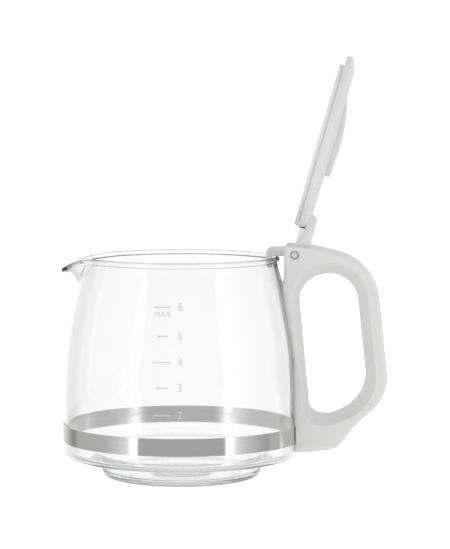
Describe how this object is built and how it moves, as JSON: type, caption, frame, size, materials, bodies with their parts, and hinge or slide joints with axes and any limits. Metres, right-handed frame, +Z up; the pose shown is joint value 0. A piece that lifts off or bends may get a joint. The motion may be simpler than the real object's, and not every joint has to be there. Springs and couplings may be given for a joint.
{
  "type": "glass coffee jug",
  "caption": "Glass jug of a drip coffee maker with a D handle, a steel clamp band, a pouring lip and a hinged lid shown open.",
  "frame": {"origin": "on the jug's axis, in the plane that the jug stands on", "axes": "+Z up along the jug's axis, +X towards the handle and -X towards the pouring lip, Y along the lid's hinge pin"},
  "size_m": [0.1591, 0.1162, 0.205],
  "materials": {
    "glass": "clear blown borosilicate glass, polished",
    "band_steel": "bright stainless strip with fine brushing",
    "fastener_steel": "turned stainless",
    "handle_plastic": "white moulded polypropylene, fine satin",
    "lid_plastic": "white moulded polypropylene, fine satin"
  },
  "bodies": {
    "jug": {"glass_jug": "glass", "clamp_band": "band_steel", "band_nut": "fastener_steel", "band_screw": "fastener_steel", "screw_washer": "fastener_steel", "handle": "handle_plastic", "lid_hinge_pin": "handle_plastic"},
    "lid": {"lid": "lid_plastic", "lid_insert": "lid_plastic"}
  },
  "joints": [
    {"name": "lid_hinge", "type": "hinge", "parent": "jug", "child": "lid", "pos_m": [0.0555, 0, 0.10965], "axis": [0, -1, 0], "range_deg": [0, 106]}
  ]
}
